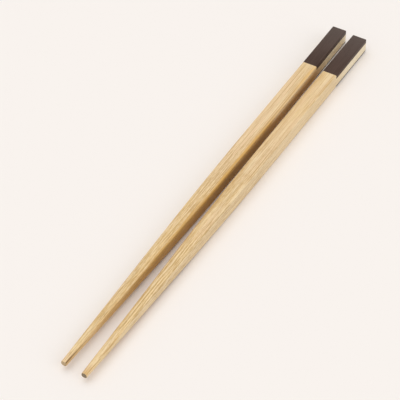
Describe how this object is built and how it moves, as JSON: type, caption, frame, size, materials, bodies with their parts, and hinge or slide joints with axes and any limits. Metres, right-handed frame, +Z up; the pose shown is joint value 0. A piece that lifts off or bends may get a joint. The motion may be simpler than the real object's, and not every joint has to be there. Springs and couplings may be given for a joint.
{
  "type": "pair of bamboo chopsticks",
  "caption": "Pair of bamboo chopsticks with square handles, dark plates let flush into the handle ends, and long tapers to rounded tips.",
  "frame": {"origin": "on the surface that the sticks rest on, under the middle of the pair", "axes": "+Y along the sticks from the tips to the handles, +Z up, +X across the pair to the right-hand stick seen from the tips"},
  "size_m": [0.0184, 0.2412, 0.0072],
  "materials": {
    "bamboo": "smooth, lightly oiled, with fine lengthwise fibres",
    "dark_plate": "satin, horn-like dark brown"
  },
  "bodies": {
    "root": {"left_bamboo_stick": "bamboo", "left_top_plate": "dark_plate", "left_bottom_plate": "dark_plate", "right_bamboo_stick": "bamboo", "right_top_plate": "dark_plate", "right_bottom_plate": "dark_plate"}
  },
  "joints": []
}
